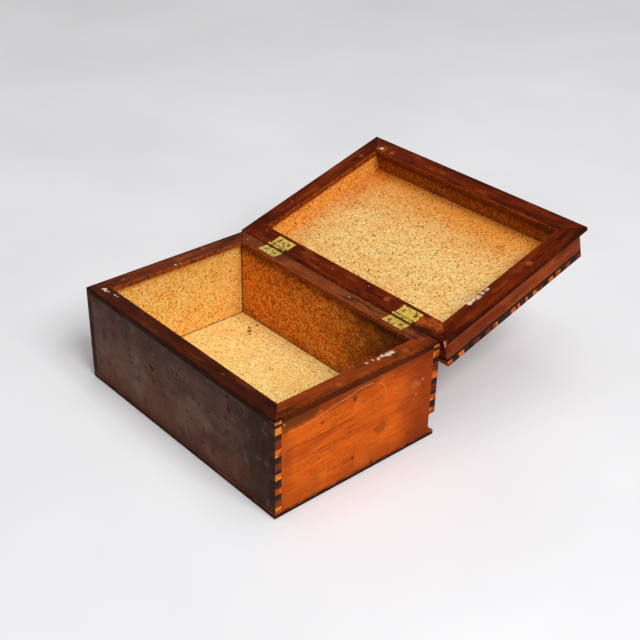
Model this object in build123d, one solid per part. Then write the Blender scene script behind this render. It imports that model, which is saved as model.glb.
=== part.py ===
from build123d import *
import math
import os

# A mahogany cigar humidor lined with cork: a deep base and a shallow lid on two brass
# butt hinges, with the lid thrown open until its moulding bears on the back of the base.
# All sizes are in millimetres. +X runs along the front, +Y towards the hinges, +Z up.
# The origin is at the centre of the underside.

# Base
box_length = 280.0
box_width = 187.0
base_height = 100.0
board = 10.0
bottom_plate = 5.0
floor_board = 6.0
bottom_round = 1.5
rim_thickness = 4.0
rim_front = 17.6
rim_back = 16.6
rim_left = 18.4
rim_right = 18.5
rim_round = 1.0
inner_round = 0.4

# Lid
lid_height = 34.0
lid_board = 10.0
lid_top = 6.0
strip_thickness = 4.75
strip_front = 20.9
strip_side = 21.2
strip_back = 21.1
overhang_front = 7.2
overhang_side = 5.2
strip_corner = 3.0
nose_flat = 0.15
closing_gap = 0.2

# Cork lining
cork = 2.5
lid_cork = 2.5
cork_gap = 0.8

# Inlay: posts of small blocks let into the upright corners, and a dark line with a row
# of blocks above it along the top edges of the lid. Each block is a wood and its length.
post = 7.0
post_cover = 1.5
post_blocks = (
    ("light", 3.0), ("dark", 3.0), ("light", 6.9), ("dark", 5.4), ("red", 9.2),
    ("light", 7.6), ("dark", 6.4), ("red", 7.0), ("dark", 3.6), ("light", 6.4),
    ("dark", 8.2), ("light", 6.7), ("dark", 5.8), ("red", 7.6), ("light", 6.7),
)
lost_blocks = 3
lid_post = 5.0
edge_depth = 5.0
edge_line = 3.2
edge_row = 5.4
edge_blocks = (
    ("light", 6.5), ("dark", 7.8), ("light", 7.1), ("dark", 12.6), ("red", 8.8),
    ("dark", 7.5), ("red", 7.8), ("dark", 2.2), ("light", 7.1), ("dark", 18.5),
    ("light", 6.2), ("dark", 2.6), ("light", 3.5), ("dark", 7.8), ("light", 3.1),
    ("dark", 7.5), ("light", 7.5), ("red", 6.9), ("dark", 8.1), ("light", 6.9),
    ("dark", 3.4), ("light", 7.2), ("dark", 7.5), ("red", 6.9), ("dark", 10.0),
    ("red", 6.0),
)
shortest_block = 1.5

# Hinges
open_angle = 163.8
hinge_length = 25.0
hinge_leaf_width = 14.7
leaf = 1.0
barrel_radius = 2.2
pin_radius = 0.9
pin_clearance = 0.03
pin_offset = 2.2
hinge_left_end = 52.0
hinge_right_end = 49.0
knuckles = 5
knuckle_gap = 0.2
leaf_slot = 1.2
recess_gap = 0.1
stop_gap = 0.15

# Screws
screw_spread = 14.0
screw_head_radius = 2.1
screw_shank_radius = 1.2
screw_sides = 6
screw_length = 9.0
screw_slot_width = 0.5
screw_slot_depth = 0.4
screw_clearance = 0.05

# Places worked out from the sizes above
sides = ("front", "back", "left", "right")
same_place = 0.01
half_length = box_length / 2
half_width = box_width / 2
floor_level = bottom_plate + floor_board
rim_level = base_height - rim_thickness
mouth_level = base_height + closing_gap
strip_level = mouth_level + strip_thickness
top_level = mouth_level + lid_height
panel_level = top_level - lid_top
row_level = top_level - edge_row
line_level = row_level - edge_line
pin_y = half_width + pin_offset
pin_z = base_height + closing_gap / 2
nose = (strip_thickness - nose_flat) / 2
barrel_room = barrel_radius + leaf_slot
hinge_axis = Axis((0, pin_y, pin_z), (-1, 0, 0))


def back_overhang():
    """Overhang at the back of the lid that meets the back of the base at the open angle."""
    turn = math.radians(open_angle)
    nose_height = nose + closing_gap / 2
    reach = (nose + stop_gap - pin_offset - nose_height * math.sin(turn)) / math.cos(turn)
    return pin_offset + nose + reach


def block(left, right, front, back, low, high):
    """A rectangular solid from its six face positions."""
    centre = ((left + right) / 2, (front + back) / 2, (low + high) / 2)
    return Pos(*centre) * Box(right - left, back - front, high - low)


def rectangle_block(edges, low, high):
    """A rectangular solid over a plan rectangle given as left, right, front, back."""
    return block(*edges, low, high)


def inset(edges, amount):
    """A plan rectangle moved in by the same amount on every side."""
    left, right, front, back = edges
    return (left + amount, right - amount, front + amount, back - amount)


def mitred_outlines(outer, inner):
    """Plan outlines of four mitred strips that lie between two rectangles."""
    left, right, front, back = outer
    left_in, right_in, front_in, back_in = inner
    return {
        "front": [(left, front), (right, front), (right_in, front_in), (left_in, front_in)],
        "back": [(left, back), (left_in, back_in), (right_in, back_in), (right, back)],
        "left": [(left, front), (left_in, front_in), (left_in, back_in), (left, back)],
        "right": [(right, front), (right, back), (right_in, back_in), (right_in, front_in)],
    }


def prism(outline, low, high):
    """An upright prism over a plan outline."""
    face = make_face(Polyline(*outline, close=True))
    return Pos(0, 0, low) * extrude(face, high - low)


def strip_plan(side, outer, inner):
    """Plan rectangle of one strip between two rectangles, before its ends are mitred."""
    left, right, front, back = outer
    left_in, right_in, front_in, back_in = inner
    plans = {
        "front": (left, right, front, front_in),
        "back": (left, right, back_in, back),
        "left": (left, left_in, front, back),
        "right": (right_in, right, front, back),
    }
    return plans[side]


def round_cornered_block(edges, radius, low, high):
    """A rectangular solid over a plan rectangle, with its four upright edges rounded."""
    solid = rectangle_block(edges, low, high)
    return fillet(solid.edges().filter_by(Axis.Z), radius)


def edge_at(solid, side, place, level):
    """The long edge of a strip that lies at a place across it and at a level."""
    for edge in solid.edges():
        middle = edge.position_at(0.5)
        across = middle.X if side in ("left", "right") else middle.Y
        if abs(across - place) < same_place and abs(middle.Z - level) < same_place:
            return edge
    raise ValueError("no edge there")


def rounded_strip(side, outer, inner, low, high, outer_rounds, inner_rounds):
    """A mitred strip whose long edges are rounded, by level, on its outer and inner side."""
    plan = strip_plan(side, outer, inner)
    left, right, front, back = plan
    outer_place = {"front": front, "back": back, "left": left, "right": right}[side]
    inner_place = {"front": back, "back": front, "left": right, "right": left}[side]
    solid = rectangle_block(plan, low, high)
    for place, rounds in ((outer_place, outer_rounds), (inner_place, inner_rounds)):
        for level, radius in rounds.items():
            solid = fillet(edge_at(solid, side, place, level), radius)
    return solid & prism(mitred_outlines(outer, inner)[side], low, high)


def corner_plans(size):
    """The four plan squares at the upright corners of the box, by corner name."""
    corners = {}
    for side, x in (("left", -half_length), ("right", half_length)):
        for end, y in (("front", -half_width), ("back", half_width)):
            x_in = x - math.copysign(size, x)
            y_in = y - math.copysign(size, y)
            corners[end + "_" + side] = (min(x, x_in), max(x, x_in), min(y, y_in), max(y, y_in))
    return corners


def without_corners(solid, size, low, high):
    """A solid with the rebates for the corner posts cut out of it."""
    for plan in corner_plans(size).values():
        solid = solid - rectangle_block(plan, low, high)
    return solid


def hinge_centres():
    """Where the two hinges stand along the back edge, each from its own end of the box."""
    return {"left": hinge_left_end - half_length, "right": half_length - hinge_right_end}


def knuckle_spans(centre, owner):
    """Spans along X of the knuckles of one leaf: the base has the odd ones, the lid the even."""
    pitch = hinge_length / knuckles
    start = centre - hinge_length / 2
    first = 0 if owner == "base" else 1
    spans = []
    for index in range(first, knuckles, 2):
        low = start + index * pitch + knuckle_gap / 2
        spans.append((low, low + pitch - knuckle_gap))
    return spans


def rod(radius, low, high):
    """A round rod on the pin's axis between two places along X."""
    middle = (low + high) / 2
    return Pos(middle, pin_y, pin_z) * Rot(0, 90, 0) * Cylinder(radius, high - low)


def screw_places(centre):
    """Centres of the two screws of a leaf, halfway across its plate."""
    y = pin_y - (hinge_leaf_width + barrel_room) / 2
    return [(centre - screw_spread / 2, y), (centre + screw_spread / 2, y)]


def screw_hole(x, y):
    """The countersunk hole in a leaf, the head of the screw with its clearance."""
    top = screw_head_radius + screw_clearance
    bottom = screw_shank_radius + screw_clearance
    return Pos(x, y, base_height - leaf / 2) * Cone(bottom, top, leaf)


def shank(x, y, clearance):
    """The hidden shank of a screw as a six-sided rod, or the hole for it with a clearance."""
    low = base_height - screw_length - clearance
    section = RegularPolygon(screw_shank_radius + clearance, screw_sides)
    return Pos(x, y, low) * extrude(section, base_height - leaf - low)


def screw(x, y):
    """A slotted screw with its countersunk head flush in the leaf and a plain shank."""
    head = Pos(x, y, base_height - leaf / 2) * Cone(screw_shank_radius, screw_head_radius, leaf)
    width = screw_slot_width / 2
    left, right = x - screw_head_radius, x + screw_head_radius
    slot = block(left, right, y - width, y + width, base_height - screw_slot_depth, base_height)
    return head + shank(x, y, 0) - slot


def flipped(solid):
    """A solid made for the base, turned over the mating plane for the lid."""
    return mirror(solid, Plane((0, 0, pin_z), z_dir=(0, 0, 1)))


def leaf_plate(centre, owner):
    """A hinge leaf in its place on the base: plate, tongues, knuckles, screw holes."""
    start = centre - hinge_length / 2
    end = centre + hinge_length / 2
    low = base_height - leaf
    solid = block(start, end, pin_y - hinge_leaf_width, pin_y - barrel_room, low, base_height)
    for left, right in knuckle_spans(centre, owner):
        solid += block(left, right, pin_y - barrel_room, pin_y, low, base_height)
        solid += rod(barrel_radius, left, right)
    solid -= rod(pin_radius + pin_clearance, start - knuckle_gap, end + knuckle_gap)
    for x, y in screw_places(centre):
        solid -= screw_hole(x, y)
    return solid


def leaf_recess(centre):
    """The pocket for one leaf in the top of the base."""
    half = hinge_length / 2 + recess_gap
    front = pin_y - hinge_leaf_width - recess_gap
    low = base_height - leaf
    return block(centre - half, centre + half, front, half_width + leaf, low, base_height + leaf)


def hinge_wood_cuts():
    """Pockets and screw holes for both hinges, as they are cut in the base."""
    cuts = []
    for centre in hinge_centres().values():
        cuts.append(leaf_recess(centre))
        for x, y in screw_places(centre):
            cuts.append(shank(x, y, screw_clearance))
    return cuts


def cut_all(solid, cutters):
    """A solid with each cutter taken from it."""
    for cutter in cutters:
        solid = solid - cutter
    return solid


def laid_blocks(sequence, length):
    """Wood and span of each inlay block along a length, the sequence repeated to fill it."""
    spans = []
    start = 0.0
    index = 0
    while length - start > shortest_block:
        wood, size = sequence[index % len(sequence)]
        end = start + size
        if length - end < shortest_block:
            end = length
        spans.append((wood, start, end))
        start = end
        index += 1
    return spans


def base_outer():
    return (-half_length, half_length, -half_width, half_width)


def make_base_boards():
    """Bottom plate, floor board and the four mitred walls with their corner rebates."""
    outer = base_outer()
    inner = inset(outer, board)
    plate = rectangle_block(outer, 0, bottom_plate)
    plate = fillet(plate.faces().sort_by(Axis.Z)[0].edges(), bottom_round)
    nodes = {"bottom_plate": plate}
    nodes["floor_board"] = rectangle_block(inner, bottom_plate, floor_level)
    for side, outline in mitred_outlines(outer, inner).items():
        wall = prism(outline, bottom_plate, rim_level)
        wall = without_corners(wall, post, bottom_plate, rim_level)
        nodes[side + "_board"] = wall
    nodes["back_board"] = cut_all(nodes["back_board"], hinge_wood_cuts())
    return nodes


def make_rim():
    """Four mitred facing strips on top of the walls, lipped over the cork."""
    outer = base_outer()
    inner = (
        -half_length + rim_left,
        half_length - rim_right,
        -half_width + rim_front,
        half_width - rim_back,
    )
    post_top = base_height - post_cover
    nodes = {}
    for side in sides:
        strip = rounded_strip(
            side, outer, inner, rim_level, base_height, {base_height: rim_round}, {base_height: inner_round}
        )
        nodes["rim_" + side] = without_corners(strip, post, rim_level, post_top)
    nodes["rim_back"] = cut_all(nodes["rim_back"], hinge_wood_cuts())
    return nodes


def make_base_cork():
    """Cork sheet on the floor and the four walls of the base."""
    floor_edges = inset(base_outer(), board)
    left, right, front, back = floor_edges
    low = floor_level + cork
    ends = cork + cork_gap
    return {
        "cork_floor": rectangle_block(floor_edges, floor_level, low),
        "cork_left": block(left, left + cork, front, back, low, rim_level),
        "cork_right": block(right - cork, right, front, back, low, rim_level),
        "cork_front": block(left + ends, right - ends, front, front + cork, low, rim_level),
        "cork_back": block(left + ends, right - ends, back - cork, back, low, rim_level),
    }


def make_base_inlay():
    """Blocks of three woods stacked in the corner rebates, some lost at the back right."""
    top = base_height - post_cover
    spans = laid_blocks(post_blocks, top - bottom_plate)
    woods = {"light": [], "dark": [], "red": []}
    for corner, plan in corner_plans(post).items():
        kept = spans[:-lost_blocks] if corner == "back_right" else spans
        for wood, start, end in kept:
            woods[wood].append(rectangle_block(plan, top - end, top - start))
    return {"corner_inlay_" + wood: Compound(blocks) for wood, blocks in woods.items()}


def make_hinges():
    """Both hinges: base leaf, lid leaf, pin, and the screws of each leaf."""
    base_nodes = {}
    lid_nodes = {}
    for side, centre in hinge_centres().items():
        half = hinge_length / 2
        screws = [screw(x, y) for x, y in screw_places(centre)]
        base_nodes["hinge_" + side + "_base_leaf"] = leaf_plate(centre, "base")
        base_nodes["hinge_" + side + "_pin"] = rod(pin_radius, centre - half, centre + half)
        base_nodes["hinge_" + side + "_base_screws"] = Compound(screws)
        lid_nodes["hinge_" + side + "_lid_leaf"] = flipped(leaf_plate(centre, "lid"))
        lid_screws = [flipped(each) for each in screws]
        lid_nodes["hinge_" + side + "_lid_screws"] = Compound(lid_screws)
    return base_nodes, lid_nodes


def make_lid_boards():
    """Top panel and the four mitred walls of the closed lid."""
    outer = base_outer()
    inner = inset(outer, lid_board)
    rebate = inset(outer, edge_depth)
    nodes = {"lid_panel": rectangle_block(rebate, panel_level, top_level)}
    core = rectangle_block(rebate, line_level, panel_level)
    lid_cuts = [flipped(cut) for cut in hinge_wood_cuts()]
    for side, outline in mitred_outlines(outer, inner).items():
        wall = prism(outline, strip_level, line_level)
        wall += prism(outline, line_level, panel_level) & core
        wall = without_corners(wall, lid_post, strip_level, line_level)
        nodes["lid_" + side + "_board"] = wall
    nodes["lid_back_board"] = cut_all(nodes["lid_back_board"], lid_cuts)
    return nodes


def make_lid_strips():
    """Four mitred strips round the mouth of the closed lid, nosed and overhanging."""
    outer = (
        -half_length - overhang_side,
        half_length + overhang_side,
        -half_width - overhang_front,
        half_width + back_overhang(),
    )
    left, right, front, back = outer
    inner = (left + strip_side, right - strip_side, front + strip_front, back - strip_back)
    plan = round_cornered_block(outer, strip_corner, mouth_level - nose, strip_level + nose)
    nosing = {mouth_level: nose, strip_level: nose}
    nodes = {}
    for side in sides:
        strip = rounded_strip(
            side, outer, inner, mouth_level, strip_level, nosing, {mouth_level: inner_round}
        )
        nodes["lid_strip_" + side] = strip & plan
    cuts = [flipped(cut) for cut in hinge_wood_cuts()]
    for centre in hinge_centres().values():
        half = hinge_length / 2 + recess_gap
        notch = (centre - half, centre + half, pin_y - barrel_room, back + nose)
        cuts.append(rectangle_block(notch, mouth_level - nose, strip_level + nose))
    nodes["lid_strip_back"] = cut_all(nodes["lid_strip_back"], cuts)
    return nodes


def make_lid_cork():
    """Cork sheet under the top panel and on the four walls of the closed lid."""
    edges = inset(base_outer(), lid_board)
    left, right, front, back = edges
    high = panel_level - lid_cork
    ends = lid_cork + cork_gap
    walls = {
        "left": (left, left + lid_cork, front, back),
        "right": (right - lid_cork, right, front, back),
        "front": (left + ends, right - ends, front, front + lid_cork),
        "back": (left + ends, right - ends, back - lid_cork, back),
    }
    nodes = {"lid_cork_ceiling": rectangle_block(edges, high, panel_level)}
    for side, plan in walls.items():
        nodes["lid_cork_" + side] = rectangle_block(plan, strip_level, high)
    return nodes


def make_lid_inlay():
    """Corner posts, dark line and rows of blocks round the top of the closed lid."""
    woods = {"light": [], "dark": [], "red": []}
    for plan in corner_plans(lid_post).values():
        woods["red"].append(rectangle_block(plan, strip_level, line_level))
    lines = []
    reach = half_length - edge_depth
    for sign in (-1, 1):
        outer_x, inner_x = sign * half_length, sign * reach
        left, right = min(outer_x, inner_x), max(outer_x, inner_x)
        lines.append(block(left, right, -half_width, half_width, line_level, row_level))
        for wood, start, end in laid_blocks(edge_blocks, box_width):
            span = (half_width - end, half_width - start)
            woods[wood].append(block(left, right, *span, row_level, top_level))
        outer_y, inner_y = sign * half_width, sign * (half_width - edge_depth)
        front, back = min(outer_y, inner_y), max(outer_y, inner_y)
        lines.append(block(-reach, reach, front, back, line_level, row_level))
        for wood, start, end in laid_blocks(edge_blocks, 2 * reach):
            woods[wood].append(block(reach - end, reach - start, front, back, row_level, top_level))
    nodes = {"lid_inlay_" + wood: Compound(blocks) for wood, blocks in woods.items()}
    nodes["lid_inlay_line"] = Compound(lines)
    return nodes


def main():
    base_hinges, lid_hinges = make_hinges()
    nodes = {}
    nodes.update(make_base_boards())
    nodes.update(make_rim())
    nodes.update(make_base_cork())
    nodes.update(make_base_inlay())
    nodes.update(base_hinges)
    closed_lid = {}
    closed_lid.update(make_lid_boards())
    closed_lid.update(make_lid_strips())
    closed_lid.update(make_lid_cork())
    closed_lid.update(make_lid_inlay())
    closed_lid.update(lid_hinges)
    for name, solid in closed_lid.items():
        nodes[name] = solid.rotate(hinge_axis, open_angle)
    os.makedirs("parts", exist_ok=True)
    for name, solid in nodes.items():
        export_step(Compound(solid.solids()), "parts/" + name + ".step")


main()
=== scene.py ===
import math

import bpy
from mathutils import Matrix

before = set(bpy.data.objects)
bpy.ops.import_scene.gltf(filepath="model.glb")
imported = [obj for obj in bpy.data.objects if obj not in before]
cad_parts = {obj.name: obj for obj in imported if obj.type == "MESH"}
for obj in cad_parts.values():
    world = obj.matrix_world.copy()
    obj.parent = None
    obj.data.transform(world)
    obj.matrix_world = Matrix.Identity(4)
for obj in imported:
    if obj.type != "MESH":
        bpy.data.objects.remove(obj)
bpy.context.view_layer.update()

# Sizes in millimetres, in the frame of the CAD model.
HALF_LENGTH = 140.0
HALF_WIDTH = 93.5
BASE_HEIGHT = 100.0
PIN = (0.0, 95.7, 100.1)
OPEN_ANGLE = 163.8
RIM_INNER = (-121.6, 121.5, -75.9, 76.9)
STRIP_OUTER = (-145.2, 145.2, -100.7, 98.44)
STRIP_INNER = (-124.0, 124.0, -79.8, 77.34)
RIM_JOINT = 95.8
PLATE_JOINT = 5.2
# Top of the painted shadow beside the lid's strips.
STRIP_SHADOW_TOP = 107.5
CHAMBER_LEFT = -127.5
CHAMBER_BACK = 81.0
CHAMBER_FLOOR = 13.5
MM_PER_METRE = 1000.0


def colour(red, green, blue):
    """Linear RGBA from the usual 0 to 255 values."""
    values = []
    for value in (red, green, blue):
        value /= 255
        values.append(value / 12.92 if value <= 0.04045 else ((value + 0.055) / 1.055) ** 2.4)
    return (*values, 1.0)


class Shader:
    """A node material and short calls that add its nodes."""

    def __init__(self, name):
        self.material = bpy.data.materials.new(name)
        self.material.use_nodes = True
        self.tree = self.material.node_tree
        self.tree.nodes.clear()
        self.output = self.tree.nodes.new("ShaderNodeOutputMaterial")
        self.surface = self.tree.nodes.new("ShaderNodeBsdfPrincipled")
        self.tree.links.new(self.surface.outputs[0], self.output.inputs["Surface"])

    def put(self, socket, value):
        """Links a socket, or sets a plain value."""
        if isinstance(value, bpy.types.NodeSocket):
            self.tree.links.new(value, socket)
        else:
            socket.default_value = value

    def math(self, operation, first, second=0.0, third=0.0):
        node = self.tree.nodes.new("ShaderNodeMath")
        node.operation = operation
        for socket, value in zip(node.inputs, (first, second, third)):
            self.put(socket, value)
        return node.outputs[0]

    def vector(self, operation, first, second):
        node = self.tree.nodes.new("ShaderNodeVectorMath")
        node.operation = operation
        self.put(node.inputs[0], first)
        self.put(node.inputs[1], second)
        return node.outputs["Value" if operation == "LENGTH" else "Vector"]

    def axes(self, vector):
        """The three parts of a vector."""
        node = self.tree.nodes.new("ShaderNodeSeparateXYZ")
        self.put(node.inputs[0], vector)
        return node.outputs[0], node.outputs[1], node.outputs[2]

    def join(self, x, y, z):
        node = self.tree.nodes.new("ShaderNodeCombineXYZ")
        for socket, value in zip(node.inputs, (x, y, z)):
            self.put(socket, value)
        return node.outputs[0]

    def mapping(self, vector, scale=(1, 1, 1), turn=(0, 0, 0), shift=(0, 0, 0)):
        node = self.tree.nodes.new("ShaderNodeMapping")
        self.put(node.inputs["Vector"], vector)
        node.inputs["Location"].default_value = shift
        node.inputs["Rotation"].default_value = turn
        node.inputs["Scale"].default_value = scale
        return node.outputs[0]

    def place(self, lid):
        """Millimetres in the object's frame. On the lid they are those of the closed lid."""
        source = self.tree.nodes.new("ShaderNodeTexCoord").outputs["Object"]
        scale = (MM_PER_METRE, MM_PER_METRE, MM_PER_METRE)
        if not lid:
            return self.mapping(source, scale)
        turn = math.radians(OPEN_ANGLE)
        x, y, z = PIN
        turned_y = y * math.cos(turn) - z * math.sin(turn)
        turned_z = y * math.sin(turn) + z * math.cos(turn)
        shift = (0, y - turned_y, z - turned_z)
        return self.mapping(source, scale, (turn, 0, 0), shift)

    def noise(self, vector, scale=1.0, detail=2.0, roughness=0.5, distortion=0.0, tinted=False):
        node = self.tree.nodes.new("ShaderNodeTexNoise")
        self.put(node.inputs["Vector"], vector)
        node.inputs["Scale"].default_value = scale
        node.inputs["Detail"].default_value = detail
        node.inputs["Roughness"].default_value = roughness
        node.inputs["Distortion"].default_value = distortion
        return node.outputs["Color" if tinted else "Fac"]

    def cells(self, vector, scale=1.0, feature="F1", output="Distance", randomness=1.0):
        node = self.tree.nodes.new("ShaderNodeTexVoronoi")
        node.feature = feature
        self.put(node.inputs["Vector"], vector)
        node.inputs["Scale"].default_value = scale
        node.inputs["Randomness"].default_value = randomness
        return node.outputs[output]

    def span(self, value, low, high, start=0.0, end=1.0):
        """Value eased from start to end as it goes from low to high."""
        node = self.tree.nodes.new("ShaderNodeMapRange")
        node.interpolation_type = "SMOOTHSTEP"
        self.put(node.inputs["Value"], value)
        for name, amount in (("From Min", low), ("From Max", high), ("To Min", start), ("To Max", end)):
            self.put(node.inputs[name], amount)
        return node.outputs[0]

    def ramp(self, value, stops):
        node = self.tree.nodes.new("ShaderNodeValToRGB")
        self.put(node.inputs[0], value)
        elements = node.color_ramp.elements
        while len(elements) < len(stops):
            elements.new(0.5)
        for element, (position, tone) in zip(elements, stops):
            element.position = position
            element.color = tone
        return node.outputs[0]

    def mix(self, share, first, second, kind="MIX"):
        node = self.tree.nodes.new("ShaderNodeMix")
        node.data_type = "RGBA"
        node.blend_type = kind
        self.put(node.inputs[0], share)
        self.put(node.inputs[6], first)
        self.put(node.inputs[7], second)
        return node.outputs[2]

    def curve(self, value, points):
        """A smooth curve through points, both parts given from 0 to 1."""
        node = self.tree.nodes.new("ShaderNodeFloatCurve")
        self.put(node.inputs["Value"], value)
        line = node.mapping.curves[0]
        while len(line.points) < len(points):
            line.points.new(0.5, 0.5)
        for point, (x, y) in zip(line.points, points):
            point.location = (x, y)
        node.mapping.update()
        return node.outputs[0]

    def bump(self, height, strength, distance):
        node = self.tree.nodes.new("ShaderNodeBump")
        node.inputs["Strength"].default_value = strength
        node.inputs["Distance"].default_value = distance / MM_PER_METRE
        self.put(node.inputs["Height"], height)
        return node.outputs[0]

    def spots(self, vector, places, core=0.55):
        """A mask of soft spots, each given as a place and a radius in millimetres."""
        mask = 0.0
        for place, radius in places:
            apart = self.vector("LENGTH", self.vector("SUBTRACT", vector, place), (0, 0, 0))
            spot = self.span(apart, radius, radius * core)
            mask = self.math("MAXIMUM", mask, spot)
        return mask

    def broken(self, mask, place, size=1.1, share=0.5):
        """Breaks a mask up into flakes with noise."""
        flakes = self.noise(place, size, 4, 0.7)
        return self.math("MULTIPLY", mask, self.span(flakes, share - 0.05, share + 0.04))

    def patch(self, vector, low, high, soft):
        """A soft-edged box mask between two corners."""
        mask = 1.0
        for part, start, end in zip(self.axes(vector), low, high):
            if start is None:
                continue
            edge = self.math("MINIMUM", self.math("SUBTRACT", part, start), self.math("SUBTRACT", end, part))
            mask = self.math("MULTIPLY", mask, self.span(edge, -soft, soft))
        return mask

    def finish(self, tone, roughness, normal=None, **constants):
        self.put(self.surface.inputs["Base Color"], tone)
        self.put(self.surface.inputs["Roughness"], roughness)
        if normal is not None:
            self.put(self.surface.inputs["Normal"], normal)
        for name, value in constants.items():
            self.surface.inputs[name.replace("_", " ")].default_value = value
        return self.material


def roughened(shader, place, size, amount):
    """A place moved about a little by noise, so that a mask's edge turns uneven."""
    wobble = shader.noise(place, size, 3, 0.6, tinted=True)
    centred = shader.vector("SUBTRACT", wobble, (0.5, 0.5, 0.5))
    return shader.vector("ADD", place, shader.vector("MULTIPLY", centred, (amount, amount, amount)))


def grain(shader, place, axis):
    """Fibre, figure and pores of wood whose grain runs along an axis, each from 0 to 1."""
    def stretched(along, across):
        scale = [across, across, across]
        scale["xyz".index(axis)] = along
        return shader.mapping(place, scale)
    fibre = shader.noise(stretched(0.035, 0.75), 1.0, 5, 0.65, 0.3)
    figure = shader.noise(stretched(0.009, 0.075), 1.0, 3, 0.55, 0.8)
    pores = shader.noise(stretched(0.16, 2.6), 1.0, 2, 0.5)
    return fibre, figure, shader.span(pores, 0.62, 0.74)


def wood(name, lid, axis, tones, reach=0.16):
    """The start of a wood material: its place, tone from three tones, and height for bump."""
    shader = Shader(name)
    place = shader.place(lid)
    fibre, figure, pores = grain(shader, place, axis)
    blend = shader.math("ADD", shader.math("MULTIPLY", fibre, 0.55), shader.math("MULTIPLY", figure, 0.45))
    dark, middle, light = tones
    tone = shader.ramp(blend, [(0.5 - reach, dark), (0.5, middle), (0.5 + reach, light)])
    tone = shader.mix(shader.math("MULTIPLY", pores, 0.45), tone, dark)
    height = shader.math("SUBTRACT", shader.math("MULTIPLY", fibre, 0.5), pores)
    return shader, place, tone, height


def frame_edges(shader, place, outer, inner):
    """How far a place is in from a frame's outer edge, and out from its inner edge."""
    x, y, _ = shader.axes(place)
    beyond_all = 1000.0
    inward = beyond_all
    outward = -beyond_all
    for part, low, high in ((x, 0, 1), (y, 2, 3)):
        inward = shader.math("MINIMUM", inward, shader.math("SUBTRACT", part, outer[low]))
        inward = shader.math("MINIMUM", inward, shader.math("SUBTRACT", outer[high], part))
        outward = shader.math("MAXIMUM", outward, shader.math("SUBTRACT", inner[low], part))
        outward = shader.math("MAXIMUM", outward, shader.math("SUBTRACT", part, inner[high]))
    return inward, outward


def patina(shader, place, tone, dark_tone, worn):
    """Handling marks on a broad surface: cloudy dark and rubbed patches, and small dark pits."""
    cloud = shader.noise(place, 0.018, 4, 0.6)
    tone = shader.mix(shader.span(cloud, 0.5, 0.68, 0.0, 0.5), tone, dark_tone)
    tone = shader.mix(shader.span(cloud, 0.46, 0.32, 0.0, 0.4), tone, worn)
    moved = roughened(shader, place, 0.4, 4)
    near = shader.span(shader.cells(moved, 0.045), 0.07, 0.035)
    chosen = shader.span(shader.axes(shader.cells(moved, 0.045, output="Color"))[0], 0.55, 0.6)
    pits = shader.math("MULTIPLY", near, chosen)
    return shader.mix(shader.math("MULTIPLY", pits, 0.7), tone, dark_tone)


def aged(shader, place, tone, axis, outer, inner, dark_tone, worn):
    """Old polish on a frame: near-black mottles, rubbed warm places, darker outer edges and rubbed inner
    edges.
    """
    scale = [0.085, 0.085, 0.085]
    scale["xyz".index(axis)] = 0.024
    mottle = shader.noise(shader.mapping(place, scale), 1.0, 5, 0.65)
    tone = shader.mix(shader.span(mottle, 0.48, 0.66, 0.0, 0.7), tone, dark_tone)
    tone = shader.mix(shader.span(mottle, 0.44, 0.32, 0.0, 0.4), tone, worn)
    from_outer, from_inner = frame_edges(shader, place, outer, inner)
    ragged = shader.noise(place, 0.3, 4, 0.65)
    # Darker near the outer edge; on the lid strips this is painted shade on the rounded nosing.
    near = shader.math("ADD", from_outer, shader.span(ragged, 0.3, 0.7, -1.6, 1.6))
    tone = shader.mix(shader.span(near, 3.6, 0.6, 0.0, 0.7), tone, dark_tone)
    rubbed = shader.math("MULTIPLY", shader.span(from_inner, 1.5, 0.25), shader.span(ragged, 0.36, 0.56))
    return shader.mix(shader.math("MULTIPLY", rubbed, 0.75), tone, worn)


def polished(shader, tone, height, rough=0.42, sheen=0.03):
    """An old shellac polish over wood, worn to an uneven low gloss."""
    place = shader.place(False)
    worn = shader.noise(place, 0.05, 4, 0.6)
    gloss = shader.span(worn, 0.3, 0.7, rough - 0.12, rough + 0.16)
    normal = shader.bump(height, 0.35, 0.12)
    return shader.finish(tone, gloss, normal, Specular_IOR_Level=sheen)


def scratch(shader, u, v):
    """The long pale scratch that rises from the front of the right side, then turns down."""
    rise = [
        (15.8, 16.2), (30, 17.2), (45, 16.3), (55, 14.2), (66.7, 12.5),
        (80, 10.8), (90, 8.8), (100, 8.3), (108, 9.7),
    ]
    fall = [(9.7, 108), (12.5, 115), (16.7, 120), (23.3, 122.5), (33, 123.3), (45, 122.5)]
    reach, depth = 200, 50
    along = shader.math("DIVIDE", u, reach)
    path = shader.curve(along, [(a / reach, b / depth) for a, b in rise])
    height = shader.math("MULTIPLY", path, depth)
    off = shader.math("ABSOLUTE", shader.math("SUBTRACT", v, height))
    first = shader.math("MULTIPLY", shader.span(off, 0.55, 0.1), shader.span(u, 14, 70, 0.35, 1.0))
    first = shader.math("MULTIPLY", first, shader.span(u, 13, 18))
    first = shader.math("MULTIPLY", first, shader.span(u, 109, 107))
    down = shader.math("DIVIDE", v, depth)
    path = shader.curve(down, [(a / depth, b / reach) for a, b in fall])
    side = shader.math("MULTIPLY", path, reach)
    off = shader.math("ABSOLUTE", shader.math("SUBTRACT", u, side))
    second = shader.math("MULTIPLY", shader.span(off, 0.6, 0.15), shader.span(v, 9.5, 11))
    second = shader.math("MULTIPLY", second, shader.span(v, 40, 14, 0.0, 0.9))
    second = shader.math("MULTIPLY", second, shader.span(u, 106, 109))
    return shader.math("MAXIMUM", first, second)


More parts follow.
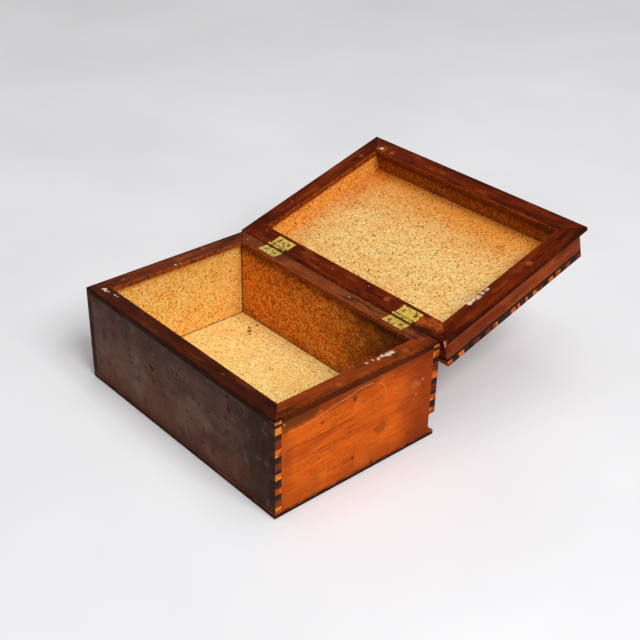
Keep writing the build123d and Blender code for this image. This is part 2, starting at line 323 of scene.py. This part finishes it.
def right_wall():
    """The bright orange-brown right wall, with its stains, scratch and flecks."""
    tones = (colour(148, 54, 8), colour(206, 90, 14), colour(228, 114, 28))
    shader, place, tone, height = wood("mahogany_right", False, "y", tones, 0.22)
    _, y, z = shader.axes(place)
    u = shader.math("ADD", y, HALF_WIDTH)
    v = shader.math("SUBTRACT", BASE_HEIGHT, z)
    flat = roughened(shader, shader.join(0.0, u, v), 0.12, 6)
    fine = roughened(shader, shader.join(0.0, u, v), 0.5, 3)
    low = shader.span(shader.noise(flat, 0.04, 3), 0.35, 0.65, -6, 6)
    edge = shader.span(shader.math("ADD", v, low), 66, 98)
    tone = shader.mix(shader.math("MULTIPLY", edge, 0.5), tone, colour(118, 46, 14))
    ends = shader.span(shader.math("ADD", u, low), 120, 176)
    tone = shader.mix(shader.math("MULTIPLY", ends, 0.7), tone, colour(112, 34, 4))
    front = shader.span(shader.math("ADD", u, low), 22, 6)
    tone = shader.mix(shader.math("MULTIPLY", front, 0.4), tone, colour(126, 52, 14))
    cloud = shader.noise(shader.mapping(flat, (1, 0.02, 0.06)), 1.0, 4, 0.6)
    tone = shader.mix(shader.span(cloud, 0.5, 0.66, 0.0, 0.36), tone, colour(126, 44, 8))
    lines = shader.patch(flat, (None, 12, 34.8), (None, 87, 36.4), 1.1)
    more = shader.patch(flat, (None, 10, 49.3), (None, 120, 50.4), 1.0)
    lines = shader.math("MAXIMUM", lines, more)
    tone = shader.mix(shader.math("MULTIPLY", lines, 0.5), tone, colour(110, 44, 20))
    top = shader.span(shader.math("ADD", v, shader.math("MULTIPLY", low, 0.4)), 17, 6)
    tone = shader.mix(shader.math("MULTIPLY", top, 0.72), tone, colour(104, 36, 8))
    label = shader.patch(roughened(shader, fine, 0.1, 14), (None, 8, 3), (None, 45, 15), 3.5)
    tone = shader.mix(shader.math("MULTIPLY", label, 0.8), tone, colour(88, 46, 14))
    places = (((0, 86.5, 16), 3.2), ((0, 86, 78), 2.4), ((0, 109, 93), 2.8), ((0, 50, 24), 2.4))
    dark = shader.spots(fine, places)
    smudge = shader.spots(flat, [((0, 119, 61), 7.5), ((0, 114, 60), 5)])
    dark = shader.math("MAXIMUM", dark, shader.math("MULTIPLY", smudge, 0.5))
    tone = shader.mix(shader.math("MULTIPLY", dark, 0.75), tone, colour(70, 36, 18))
    crack = shader.patch(roughened(shader, flat, 0.3, 2), (None, 86.4, 60), (None, 87.4, 100), 0.6)
    tone = shader.mix(shader.math("MULTIPLY", crack, 0.35), tone, colour(96, 44, 24))
    places = (((0, 158, 32), 6), ((0, 163, 34), 4), ((0, 161, 44), 3), ((0, 168, 31), 3), ((0, 157, 48), 2.5))
    flecks = shader.broken(shader.spots(fine, places, 0.2), place, 0.9, 0.52)
    corner = shader.spots(fine, [((0, 10, 7.5), 1.3)])
    streak = shader.broken(shader.patch(fine, (None, 77, 95), (None, 83, 101), 1.6), place, 0.8, 0.5)
    pale = shader.math("MAXIMUM", shader.math("MULTIPLY", flecks, 0.6), shader.math("MULTIPLY", streak, 0.5))
    pale = shader.math("MAXIMUM", pale, shader.math("MAXIMUM", corner, scratch(shader, u, v)))
    speckle = shader.span(shader.noise(place, 0.9, 3, 0.7), 0.35, 0.6, 0.25, 0.75)
    tone = shader.mix(shader.math("MULTIPLY", pale, speckle), tone, colour(236, 168, 104))
    return joints(shader, place, tone, height)


def joints(shader, place, tone, height):
    """Dark lines where the wall meets the rim and the bottom plate, then the polish."""
    z = shader.axes(place)[2]
    under = shader.span(shader.math("ABSOLUTE", shader.math("SUBTRACT", z, RIM_JOINT)), 0.9, 0.2)
    foot = shader.span(shader.math("ABSOLUTE", shader.math("SUBTRACT", z, PLATE_JOINT)), 0.9, 0.2)
    line = shader.math("MAXIMUM", shader.math("MULTIPLY", under, 0.8), shader.math("MULTIPLY", foot, 0.6))
    tone = shader.mix(line, tone, colour(40, 16, 10))
    return polished(shader, tone, height)


def front_wall():
    """The front wall in painted shade: dark grey-brown tones with a painted grey sheen, reddish lower down,
    with dark spots.
    """
    # Dark tones: the wood in painted shade.
    tones = (colour(74, 44, 34), colour(92, 60, 48), colour(108, 74, 60))
    shader, place, tone, height = wood("mahogany_front", False, "x", tones)
    x, _, z = shader.axes(place)
    v = shader.math("SUBTRACT", BASE_HEIGHT, z)
    flat = shader.join(x, 0.0, v)
    soft = roughened(shader, flat, 0.03, 70)
    fine = roughened(shader, flat, 0.45, 4)
    soft_x, _, soft_v = shader.axes(soft)
    low = shader.span(soft_v, 44, 92)
    tone = shader.mix(shader.math("MULTIPLY", low, 0.7), tone, colour(108, 62, 44))
    top = shader.span(soft_v, 34, 2)
    tone = shader.mix(shader.math("MULTIPLY", top, 0.65), tone, colour(60, 42, 34))
    # Painted shade: darker towards the right end and in a diagonal band.
    right = shader.span(soft_x, 70, 128)
    tone = shader.mix(shader.math("MULTIPLY", right, 0.75), tone, colour(42, 24, 17))
    slope = shader.math("MULTIPLY_ADD", soft_x, 0.46, soft_v)
    band = shader.span(shader.math("ABSOLUTE", shader.math("SUBTRACT", slope, 94)), 15, 2)
    band = shader.math("MULTIPLY", band, shader.span(soft_x, -16, 16))
    tone = shader.mix(shader.math("MULTIPLY", band, 0.4), tone, colour(48, 26, 19))
    # Painted reflection: pale grey patches of sheen.
    places = ((-114, 50, 30), (-90, 60, 26), (-62, 62, 32), (15, 65, 30), (34, 50, 22))
    sheen_patches = shader.spots(soft, [((a, 0, b), radius) for a, b, radius in places], 0.05)
    tone = shader.mix(shader.math("MULTIPLY", sheen_patches, 0.34), tone, colour(136, 108, 94))
    mottle = shader.noise(flat, 0.075, 5, 0.62)
    tone = shader.mix(shader.span(mottle, 0.5, 0.68, 0.0, 0.55), tone, colour(52, 31, 24))
    tone = shader.mix(shader.span(mottle, 0.46, 0.34, 0.0, 0.35), tone, colour(122, 88, 72))
    dust = shader.noise(flat, 0.7, 3, 0.7)
    tone = shader.mix(shader.span(dust, 0.52, 0.72, 0.0, 0.35), tone, colour(120, 92, 78))
    places = [
        (-34, 16, 2), (-15, 21, 1.6), (17, 21, 1.6), (-1, 26, 2), (5, 24, 2), (4, 30, 1.8),
        (-34, 38, 3.6), (-37, 36, 2.4), (-44, 42, 2), (-71, 42, 1.8), (-33, 52, 2), (37, 39, 1.8),
        (51, 39, 1.8), (18, 56, 1.6), (25, 61, 1.6), (78, 9, 2.4), (79, 18, 2.2), (80, 21, 3.2),
        (88, 21, 1.8), (75, 32, 2), (76, 45, 2), (43, 61, 1.6), (52, 60, 1.6), (41, 77, 1.6),
        (54, 80, 1.6), (103, 14, 2),
    ]
    dark = shader.spots(fine, [((a, 0, b), radius) for a, b, radius in places])
    dash = shader.patch(fine, (-69, None, 21.4), (-38, None, 22.4), 0.8)
    smear = shader.patch(fine, (123, None, 26), (128, None, 57), 2.5)
    dark = shader.math("MAXIMUM", dark, shader.math("MULTIPLY", dash, 0.6))
    dark = shader.math("MAXIMUM", dark, shader.math("MULTIPLY", smear, 0.55))
    tone = shader.mix(shader.math("MULTIPLY", dark, 0.85), tone, colour(34, 16, 14))
    bottom = shader.span(v, 84, 95)
    tone = shader.mix(shader.math("MULTIPLY", bottom, 0.5), tone, colour(44, 22, 16))
    return joints(shader, place, tone, height)


def plain_wall(name, axis):
    """A wall that the camera hardly sees, between the two tones of the others."""
    tones = (colour(104, 40, 12), colour(146, 62, 20), colour(172, 82, 32))
    shader, place, tone, height = wood(name, False, axis, tones, 0.2)
    tone = patina(shader, place, tone, colour(64, 26, 12), colour(182, 88, 34))
    return joints(shader, place, tone, height)


def bottom_wood():
    """The bottom plate, darkened along its lower edge with painted shade."""
    tones = (colour(64, 24, 10), colour(96, 38, 14), colour(120, 52, 20))
    shader, place, tone, height = wood("mahogany_bottom", False, "x", tones)
    z = shader.axes(place)[2]
    # Painted shade: the plate darkens to near black along its lower edge.
    contact_shade = shader.span(z, 4.6, 1.4)
    tone = shader.mix(shader.math("MULTIPLY", contact_shade, 0.92), tone, colour(15, 8, 6))
    bare = shader.span(shader.noise(place, 0.12, 4), 0.46, 0.6)
    rubbed = shader.math("MULTIPLY", shader.span(z, 3.8, 4.7), bare)
    tone = shader.mix(shader.math("MULTIPLY", rubbed, 0.55), tone, colour(176, 104, 52))
    return polished(shader, tone, height, 0.55, 0.02)


def mitre_mask(shader, place, outer, inner, width):
    """A thin mask along the four mitres of a frame between two rectangles."""
    x, y, _ = shader.axes(place)
    mask = 0.0
    for side in (0, 1):
        for end in (2, 3):
            run = inner[side] - outer[side]
            rise = inner[end] - outer[end]
            length = math.hypot(run, rise)
            from_x = shader.math("SUBTRACT", x, outer[side])
            from_y = shader.math("SUBTRACT", y, outer[end])
            over = shader.math("MULTIPLY", from_x, rise / length)
            up = shader.math("MULTIPLY", from_y, run / length)
            across = shader.math("SUBTRACT", over, up)
            line = shader.span(shader.math("ABSOLUTE", across), width, width * 0.2)
            near = shader.math("MULTIPLY", from_x, 1 if side == 0 else -1)
            line = shader.math("MULTIPLY", line, shader.math("LESS_THAN", near, abs(run) + 1))
            mask = shader.math("MAXIMUM", mask, line)
    return mask


def chipped(shader, place, fine, tone, height, places, pale):
    """Pale sunk chips at places on a frame, each given as x, y and a radius."""
    chips = shader.spots(fine, [((a, b, 0), radius * 1.8) for a, b, radius in places], 0.4)
    chips = shader.broken(chips, place, 0.9, 0.44)
    tone = shader.mix(shader.math("MULTIPLY", chips, 0.95), tone, pale)
    return tone, shader.math("SUBTRACT", height, chips)


def rim_wood(side, axis, tones, pale=(), orange=()):
    """A rim strip: red-brown polish, dark mitres, pale chips and worn orange places."""
    shader, place, tone, height = wood("rim_" + side, False, axis, tones, 0.14)
    x, y, _ = shader.axes(place)
    flat = shader.join(x, y, 0.0)
    fine = roughened(shader, flat, 0.4, 7)
    outer = (-HALF_LENGTH, HALF_LENGTH, -HALF_WIDTH, HALF_WIDTH)
    worn_tone = colour(168, 82, 36) if side != "front" else colour(120, 56, 24)
    tone = aged(shader, place, tone, axis, outer, RIM_INNER, colour(30, 10, 5), worn_tone)
    mitre = mitre_mask(shader, place, outer, RIM_INNER, 0.55)
    tone = shader.mix(shader.math("MULTIPLY", mitre, 0.7), tone, colour(24, 8, 5))
    if orange:
        worn = shader.spots(fine, [((a, b, 0), r) for a, b, r in orange], 0.2)
        worn = shader.broken(worn, place, 0.5, 0.46)
        tone = shader.mix(shader.math("MULTIPLY", worn, 0.65), tone, colour(176, 88, 40))
    if pale:
        tone, height = chipped(shader, place, fine, tone, height, pale, colour(236, 214, 184))
    return polished(shader, tone, height, 0.4, 0.018)


def rim_materials():
    """The four rim strips, each with its own tone and marks."""
    red = (colour(62, 22, 7), colour(97, 40, 13), colour(122, 54, 20))
    back = (colour(78, 32, 12), colour(119, 55, 23), colour(146, 74, 34))
    dark = (colour(46, 15, 3), colour(66, 22, 5), colour(86, 31, 8))
    warm = (colour(84, 30, 7), colour(126, 50, 11), colour(150, 66, 18))
    front_chips = [(-126, -82, 1.7), (-123, -83, 1.5), (-119, -82, 1.1), (-110, -81, 0.8), (-106, -81, 0.8)]
    left_chips = [(-123, 3, 0.7), (-123, -3, 0.9)]
    right_chips = [
        (125, 49, 1.9), (125.5, 44, 2.0), (124.5, 39, 1.6),
        (125.5, 33, 1.5), (124, 27, 1.2), (124, 20, 1.0),
    ]
    back_chips = [(31, 85, 0.55), (113, 86, 0.5), (113, 80, 0.5), (-122, 84, 0.8), (-30, 87, 0.4)]
    return {
        "front": rim_wood("front", "x", dark, front_chips, [(60, -84, 2)]),
        "left": rim_wood("left", "y", red, left_chips, [(-130, -58, 4), (-135, 38, 4)]),
        "back": rim_wood("back", "x", back, back_chips, [(128, 83, 5)]),
        "right": rim_wood("right", "y", warm, right_chips, [(131, 60, 5), (134, -20, 4)]),
    }


def strip_wood(side, axis, pale=(), orange=()):
    """A lid strip: saturated red-brown polish, its nosing darker with painted shade, with mitres, chips and
    wear.
    """
    tones = (colour(54, 14, 3), colour(94, 28, 5), colour(122, 44, 10))
    shader, place, tone, height = wood("lid_strip_" + side, True, axis, tones, 0.14)
    x, y, _ = shader.axes(place)
    flat = shader.join(x, y, 0.0)
    fine = roughened(shader, flat, 0.4, 7)
    tone = aged(shader, place, tone, axis, STRIP_OUTER, STRIP_INNER, colour(28, 8, 4), colour(158, 74, 26))
    mitre = mitre_mask(shader, place, STRIP_OUTER, STRIP_INNER, 0.6)
    tone = shader.mix(shader.math("MULTIPLY", mitre, 0.75), tone, colour(20, 7, 4))
    if orange:
        worn = shader.spots(fine, [((a, b, 0), r * 1.3) for a, b, r in orange], 0.2)
        worn = shader.broken(worn, place, 0.35, 0.42)
        tone = shader.mix(shader.math("MULTIPLY", worn, 0.7), tone, colour(184, 84, 30))
    if pale:
        tone, height = chipped(shader, place, fine, tone, height, pale, colour(238, 216, 184))
    return polished(shader, tone, height, 0.36, 0.018)


def strip_materials():
    """The four strips round the lid's mouth."""
    back_worn = [(108, 88, 7), (116, 84, 8), (126, 83, 8), (60, 85, 4)]
    back_pale = [(-120, 83, 0.5), (-16, 85, 0.55), (32, 82, 0.5)]
    right_pale = [
        (126, 45, 2.0), (126, 40, 2.2), (127, 34, 2.0),
        (126, 28, 1.7), (127, 22, 1.3), (143, 97, 1.2),
    ]
    front_worn = [(-126, -85, 3.5), (-118, -86, 4), (-106, -86, 4)]
    return {
        "front": strip_wood("front", "x", [(-122, -86, 1.6)], front_worn),
        "back": strip_wood("back", "x", back_pale, back_worn),
        "left": strip_wood("left", "y", [], [(-135, 34, 1.5), (-132, -64, 3)]),
        "right": strip_wood("right", "y", right_pale, [(134, -28, 4), (143, 96, 3)]),
    }


def lid_wall(name, axis):
    """The lid's outer walls, red-brown with a painted shadow line under the strip."""
    tones = (colour(78, 26, 6), colour(128, 49, 11), colour(158, 70, 22))
    shader, place, tone, height = wood(name, True, axis, tones, 0.16)
    tone = patina(shader, place, tone, colour(48, 18, 8), colour(166, 76, 26))
    # Painted shadow under the overhanging strip.
    strip_shadow = shader.span(shader.axes(place)[2], STRIP_SHADOW_TOP, 105.2)
    tone = shader.mix(shader.math("MULTIPLY", strip_shadow, 0.85), tone, colour(22, 8, 6))
    return polished(shader, tone, height, 0.4, 0.03)


def block_wood(name, lid, tones, vary):
    """Inlay blocks of uneven tone, worn dull. Those of the base are darkened on their front faces with
    painted shade.
    """
    shader = Shader(name)
    place = shader.place(lid)
    own = shader.axes(shader.cells(place, 0.09, "F1", "Color", 0.8))[0]
    fibre = shader.noise(shader.mapping(place, (0.5, 0.5, 1.6)), 1.0, 4, 0.6)
    grained = shader.math("MULTIPLY", fibre, 1 - vary)
    share = shader.math("ADD", grained, shader.math("MULTIPLY", own, vary))
    dark, middle, light = tones
    tone = shader.ramp(share, [(0.25, dark), (0.5, middle), (0.75, light)])
    if not lid:
        # Painted shade on the front faces of the base's corner blocks.
        front_shade = shader.span(shader.axes(place)[1], -92.9, -93.4)
        tone = shader.mix(shader.math("MULTIPLY", front_shade, 0.93), tone, colour(48, 26, 20))
    return polished(shader, tone, fibre, 0.45, 0.03)


def inlay_materials(lid):
    prefix = "lid_inlay_" if lid else "corner_inlay_"
    light = (colour(140, 52, 12), colour(190, 84, 20), colour(228, 134, 42))
    dark = (colour(30, 20, 14), colour(42, 28, 20), colour(62, 36, 22))
    red = (colour(84, 32, 14), colour(110, 42, 18), colour(138, 56, 22))
    if lid:
        light = (colour(104, 40, 12), colour(160, 72, 22), colour(206, 106, 36))
    return {
        "light": block_wood(prefix + "light", lid, light, 0.55),
        "dark": block_wood(prefix + "dark", lid, dark, 0.4),
        "red": block_wood(prefix + "red", lid, red, 0.4),
    }


def cork_material(name, lid, tones, speck, size=0.62):
    """Pressed cork: granules of four tones, deep to bright, with darker seams and fine specks."""
    shader = Shader(name)
    place = shader.place(lid)
    moved = roughened(shader, place, 0.9, 1.1)
    deep, warm, pale, bright = [colour(*tone) for tone in tones]
    red, green, _ = shader.axes(shader.cells(moved, size, "F1", "Color", 1.0))
    small = shader.cells(moved, size * 2.3, "F1", "Color", 1.0)
    small_red, small_green, small_blue = shader.axes(small)
    seam = shader.cells(moved, size, "DISTANCE_TO_EDGE", "Distance", 1.0)
    tone = shader.ramp(red, [(0.0, deep), (0.25, warm), (0.55, pale), (0.85, bright)])
    tone = shader.mix(shader.math("MULTIPLY", small_red, 0.22), tone, warm)
    dusky = shader.math("MULTIPLY", shader.span(green, 0.9, 0.95), shader.span(small_green, 0.25, 0.5))
    tone = shader.mix(shader.math("MULTIPLY", dusky, 0.45), tone, colour(*speck))
    fine = shader.math("MULTIPLY", shader.span(small_blue, 0.93, 0.96), 0.7)
    tone = shader.mix(fine, tone, colour(*speck))
    bark = shader.cells(roughened(shader, place, 1.2, 1.6), 0.7, "F1", "Color", 1.0)
    tone = shader.mix(shader.span(shader.axes(bark)[1], 0.945, 0.965, 0.0, 0.85), tone, colour(*speck))
    lines = shader.span(seam, 0.14, 0.02)
    tone = shader.mix(shader.math("MULTIPLY", lines, 0.5), tone, deep)
    patches = shader.noise(place, 0.03, 3, 0.5)
    tone = shader.mix(shader.span(patches, 0.48, 0.7, 0.0, 0.3), tone, deep)
    height = shader.math("SUBTRACT", shader.math("MULTIPLY", small_red, 0.4), lines)
    return shader, place, tone, shader.bump(height, 0.5, 0.3)


def cork_floor():
    """The chamber's pale golden floor with two brown stains and painted shade along its edges."""
    tones = ((238, 176, 82), (252, 207, 114), (255, 227, 146), (255, 242, 178))
    shader, place, tone, normal = cork_material("cork_floor", False, tones, (120, 58, 18))
    fine = roughened(shader, place, 0.4, 6)
    places = ((-92, 62, 3.4), (-97, 66, 2.6), (-87, 59, 2.2), (-96, 76, 2.6))
    stains = shader.spots(fine, [((a, b, CHAMBER_FLOOR), radius) for a, b, radius in places], 0.4)
    tone = shader.mix(shader.math("MULTIPLY", stains, 0.92), tone, colour(136, 56, 16))
    x, y, _ = shader.axes(place)
    # Painted shade along the left and back walls.
    from_left = shader.math("SUBTRACT", x, CHAMBER_LEFT)
    edge = shader.math("MINIMUM", from_left, shader.math("SUBTRACT", CHAMBER_BACK, y))
    tone = shader.mix(shader.span(edge, 1.6, 0.2, 0.0, 0.8), tone, colour(90, 42, 12))
    return shader.finish(tone, 0.85, normal, Specular_IOR_Level=0.1)


def cork_side():
    """The left, right and front walls of the chamber, golden, with painted shade in their corners."""
    tones = ((230, 146, 42), (252, 192, 80), (255, 214, 116), (255, 230, 150))
    shader, place, tone, normal = cork_material("cork_side", False, tones, (150, 76, 20))
    _, y, z = shader.axes(place)
    # Painted shade in the corner by the back wall, and along the floor.
    corner = shader.span(shader.math("SUBTRACT", CHAMBER_BACK, y), 1.6, 0.3)
    tone = shader.mix(shader.math("MULTIPLY", corner, 0.85), tone, colour(34, 14, 5))
    foot = shader.span(shader.math("SUBTRACT", z, CHAMBER_FLOOR), 1.5, 0.2)
    tone = shader.mix(shader.math("MULTIPLY", foot, 0.6), tone, colour(120, 60, 18))
    return shader.finish(tone, 0.85, normal, Specular_IOR_Level=0.1)


def cork_back():
    """The back wall: cork in painted shade and orange bounce light, a deep orange-brown, darkest at its right
    end and under the rim.
    """
    # Tones of the cork in painted shade and orange bounce light.
    tones = ((170, 72, 12), (226, 120, 30), (244, 152, 50), (252, 182, 80))
    shader, place, tone, normal = cork_material("cork_back", False, tones, (62, 22, 4), 0.5)
    x, _, z = shader.axes(place)
    drift = shader.noise(place, 0.04, 3, 0.6)
    # Painted shadow, darkest towards the right end.
    along = shader.math("ADD", x, shader.span(drift, 0.3, 0.7, -14, 14))
    tone = shader.mix(shader.span(along, 0, 96, 0.0, 0.8), tone, colour(62, 20, 4))
    # Painted shadow under the rim, and painted shade near the floor.
    high = shader.math("ADD", z, shader.span(drift, 0.3, 0.7, -3, 3))
    tone = shader.mix(shader.span(high, 82, 96, 0.0, 0.75), tone, colour(56, 20, 5))
    tone = shader.mix(shader.span(high, 24, 13, 0.0, 0.4), tone, colour(110, 44, 8))
    return shader.finish(tone, 0.8, normal, Specular_IOR_Level=0.1)


def lid_ceiling():
    """The lid's cork ceiling: pale, fine-grained, turning orange-brown towards its edges with painted shade
    and bounce light.
    """
    tones = ((226, 146, 62), (250, 196, 108), (255, 220, 140), (255, 238, 172))
    shader, place, tone, normal = cork_material("lid_cork_ceiling", True, tones, (96, 46, 14), 0.7)
    x, y, _ = shader.axes(place)
    # Painted shade and orange bounce light towards the far end and the sides.
    drift = shader.noise(place, 0.03, 3, 0.6)
    far = shader.math("ADD", y, shader.span(drift, 0.3, 0.7, -12, 12))
    tone = shader.mix(shader.span(far, 0, -84, 0.0, 0.85), tone, colour(238, 172, 62), "MULTIPLY")
    along = shader.math("ADD", x, shader.span(drift, 0.3, 0.7, -10, 10))
    tone = shader.mix(shader.span(along, -84, -127, 0.0, 0.5), tone, colour(226, 164, 72), "MULTIPLY")
    tone = shader.mix(shader.span(along, 96, 127, 0.0, 0.3), tone, colour(222, 160, 80), "MULTIPLY")
    stains = shader.span(shader.noise(place, 0.75, 2, 0.6), 0.665, 0.7)
    tone = shader.mix(shader.math("MULTIPLY", stains, 0.8), tone, colour(96, 44, 14))
    return shader.finish(tone, 0.85, normal, Specular_IOR_Level=0.1)


def lid_side():
    """The lid's cork walls, orange, with a painted shadow line where they meet the strips."""
    tones = ((214, 112, 24), (244, 154, 46), (252, 178, 76), (255, 200, 108))
    shader, place, tone, normal = cork_material("lid_cork_side", True, tones, (130, 60, 14), 0.7)
    z = shader.axes(place)[2]
    # Painted shadow along the strips.
    tone = shader.mix(shader.span(z, STRIP_SHADOW_TOP, 105, 0.0, 0.85), tone, colour(60, 22, 6))
    return shader.finish(tone, 0.85, normal, Specular_IOR_Level=0.1)


def lid_far():
    """The lid's front cork wall, far from the hinges, the darkest of the lining: cork in painted shade."""
    # Tones of the cork in painted shade.
    tones = ((118, 50, 8), (166, 84, 18), (190, 108, 32), (208, 132, 50))
    shader, place, tone, normal = cork_material("lid_cork_far", True, tones, (54, 20, 4), 0.6)
    z = shader.axes(place)[2]
    # Painted shadow under the strip, darkening towards it.
    tone = shader.mix(shader.span(z, 116, 105, 0.0, 0.75), tone, colour(44, 14, 4))
    return shader.finish(tone, 0.85, normal, Specular_IOR_Level=0.1)


def brass(name, grime):
    """Old brass: olive yellow, brushed, with brown and green stains, and darker beside the barrel."""
    shader = Shader(name)
    place = shader.place(False)
    _, y, z = shader.axes(place)
    beside = shader.math("ABSOLUTE", shader.math("SUBTRACT", y, PIN[1]))
    barrel = shader.math("MULTIPLY", shader.span(beside, 4.2, 2.4), shader.span(z, 101.9, 101.2))
    brushed = shader.noise(shader.mapping(place, (0.35, 3.5, 3.5)), 1.0, 4, 0.6)
    stops = [(0.34, colour(168, 122, 28)), (0.5, colour(222, 178, 62)), (0.66, colour(252, 228, 132))]
    tone = shader.ramp(brushed, stops)
    blots = shader.span(shader.noise(place, 0.2, 5, 0.72), 0.52, 0.6)
    tone = shader.mix(shader.math("MULTIPLY", blots, 0.85), tone, colour(58, 40, 10))
    green = shader.span(shader.noise(shader.mapping(place, shift=(31, 7, 3)), 0.3, 3, 0.5), 0.55, 0.7)
    tone = shader.mix(shader.math("MULTIPLY", green, 0.45), tone, colour(112, 116, 46))
    tone = shader.mix(shader.math("MULTIPLY", barrel, 0.8), tone, colour(40, 26, 8))
    if grime:
        tone = shader.mix(shader.span(brushed, 0.3, 0.7, 0.85, 0.45), tone, colour(70, 46, 16))
    rough = shader.math("ADD", shader.math("MULTIPLY", blots, 0.3), shader.math("MULTIPLY", brushed, 0.35))
    normal = shader.bump(shader.math("SUBTRACT", brushed, blots), 0.4, 0.08)
    return shader.finish(tone, shader.math("ADD", rough, 0.18), normal, Metallic=0.85)


def dress(node, material):
    """Gives a CAD node its material."""
    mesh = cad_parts[node].data
    mesh.materials.clear()
    mesh.materials.append(material)
    for face in mesh.polygons:
        face.material_index = 0


def soften(node, width=0.35):
    """Breaks a node's sharp edges, so that joints show as fine lines and edges catch light."""
    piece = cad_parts[node]
    weld = piece.modifiers.new("weld", "WELD")
    weld.merge_threshold = 0.01 / MM_PER_METRE
    bevel = piece.modifiers.new("edges", "BEVEL")
    bevel.width = width / MM_PER_METRE
    bevel.segments = 2
    bevel.limit_method = "ANGLE"
    bevel.angle_limit = math.radians(50)
    bevel.use_clamp_overlap = True
    smooth = piece.modifiers.new("shade", "WEIGHTED_NORMAL")
    smooth.keep_sharp = False


def dress_base():
    dress("right_board", right_wall())
    dress("front_board", front_wall())
    dress("left_board", plain_wall("mahogany_left", "y"))
    dress("back_board", plain_wall("mahogany_back", "x"))
    dress("bottom_plate", bottom_wood())
    dress("floor_board", bottom_wood())
    for side, material in rim_materials().items():
        dress("rim_" + side, material)
    for wood_name, material in inlay_materials(False).items():
        dress("corner_inlay_" + wood_name, material)
    dress("cork_floor", cork_floor())
    wall = cork_side()
    for side in ("left", "right", "front"):
        dress("cork_" + side, wall)
    dress("cork_back", cork_back())


def dress_lid():
    for side, axis in (("front", "x"), ("back", "x"), ("left", "y"), ("right", "y")):
        dress("lid_" + side + "_board", lid_wall("lid_wall_" + side, axis))
    dress("lid_panel", lid_wall("lid_top", "x"))
    for side, material in strip_materials().items():
        dress("lid_strip_" + side, material)
    for wood_name, material in inlay_materials(True).items():
        dress("lid_inlay_" + wood_name, material)
    line = (colour(24, 15, 12), colour(36, 22, 17), colour(52, 30, 22))
    dress("lid_inlay_line", block_wood("lid_inlay_line", True, line, 0.3))
    dress("lid_cork_ceiling", lid_ceiling())
    side = lid_side()
    for name in ("left", "right", "back"):
        dress("lid_cork_" + name, side)
    dress("lid_cork_front", lid_far())


def dress_hinges():
    metal = brass("old_brass", False)
    dull = brass("dull_brass", True)
    for side in ("left", "right"):
        for piece in ("base_leaf", "lid_leaf", "pin"):
            dress("hinge_" + side + "_" + piece, metal)
        for piece in ("base_screws", "lid_screws"):
            dress("hinge_" + side + "_" + piece, dull)


def stage_floor():
    """A plain pale floor that carries the shadow, twelve metres on a side."""
    size = 6.0
    mesh = bpy.data.meshes.new("stage_floor")
    corners = [(-size, -size, 0), (size, -size, 0), (size, size, 0), (-size, size, 0)]
    mesh.from_pydata(corners, [], [(0, 1, 2, 3)])
    floor = bpy.data.objects.new("stage_floor", mesh)
    bpy.context.scene.collection.objects.link(floor)
    shader = Shader("floor_pale")
    cloud = shader.noise(shader.place(False), 0.004, 3, 0.5)
    tone = shader.ramp(cloud, [(0.3, colour(232, 232, 234)), (0.7, colour(240, 240, 242))])
    mesh.materials.append(shader.finish(tone, 0.8, Specular_IOR_Level=0.03))


def area_light(name, size, power, azimuth, elevation, distance):
    """A square soft white light that faces the object from a direction in degrees."""
    data = bpy.data.lights.new(name, "AREA")
    data.size = size
    data.energy = power
    light = bpy.data.objects.new(name, data)
    turn, rise = math.radians(azimuth), math.radians(elevation)
    away = (math.cos(rise) * math.cos(turn), math.cos(rise) * math.sin(turn), math.sin(rise))
    light.location = [distance * part for part in away]
    light.rotation_euler = (math.pi / 2 - rise, 0, turn + math.pi / 2)
    bpy.context.scene.collection.objects.link(light)


def lighting():
    """Two soft lights, and a dim white world that is brighter where it is seen or mirrored."""
    dim, seen_extra = 0.22, 0.6
    area_light("key", 1.9, 124, -5, 48, 4)
    area_light("overhead", 3.4, 48, 0, 90, 4)
    world = bpy.data.worlds.new("studio")
    bpy.context.scene.world = world
    world.use_nodes = True
    tree = world.node_tree
    back = tree.nodes["Background"]
    back.inputs["Color"].default_value = (1, 1, 1, 1)
    rays = tree.nodes.new("ShaderNodeLightPath")
    seen = rays.outputs["Is Camera Ray"]
    for kind in ("Is Glossy Ray", "Is Transmission Ray"):
        either = tree.nodes.new("ShaderNodeMath")
        either.operation = "MAXIMUM"
        tree.links.new(seen, either.inputs[0])
        tree.links.new(rays.outputs[kind], either.inputs[1])
        seen = either.outputs[0]
    strength = tree.nodes.new("ShaderNodeMath")
    strength.operation = "MULTIPLY_ADD"
    tree.links.new(seen, strength.inputs[0])
    strength.inputs[1].default_value = seen_extra
    strength.inputs[2].default_value = dim
    tree.links.new(strength.outputs[0], back.inputs["Strength"])


def camera():
    """The photograph's viewpoint, found from the edges of the box."""
    data = bpy.data.cameras.new("camera")
    data.sensor_width = 36
    data.lens = 65.43
    data.clip_end = 50
    view = bpy.data.objects.new("camera", data)
    yaw, pitch, roll = (math.radians(angle) for angle in (48.277, 30.885, 1.171))
    turn = Matrix.Rotation(yaw, 4, "Z") @ Matrix.Rotation(math.pi / 2 - pitch, 4, "X")
    standpoint = Matrix.Translation((0.71613, -0.56181, 0.63775))
    view.matrix_world = standpoint @ turn @ Matrix.Rotation(roll, 4, "Z")
    bpy.context.scene.collection.objects.link(view)
    bpy.context.scene.camera = view


def main():
    bpy.context.scene.view_settings.view_transform = "Standard"
    camera()
    dress_base()
    dress_lid()
    dress_hinges()
    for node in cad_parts:
        if "hinge" not in node and "cork" not in node:
            soften(node, 0.2 if "inlay" in node else 0.35)
    stage_floor()
    lighting()


main()
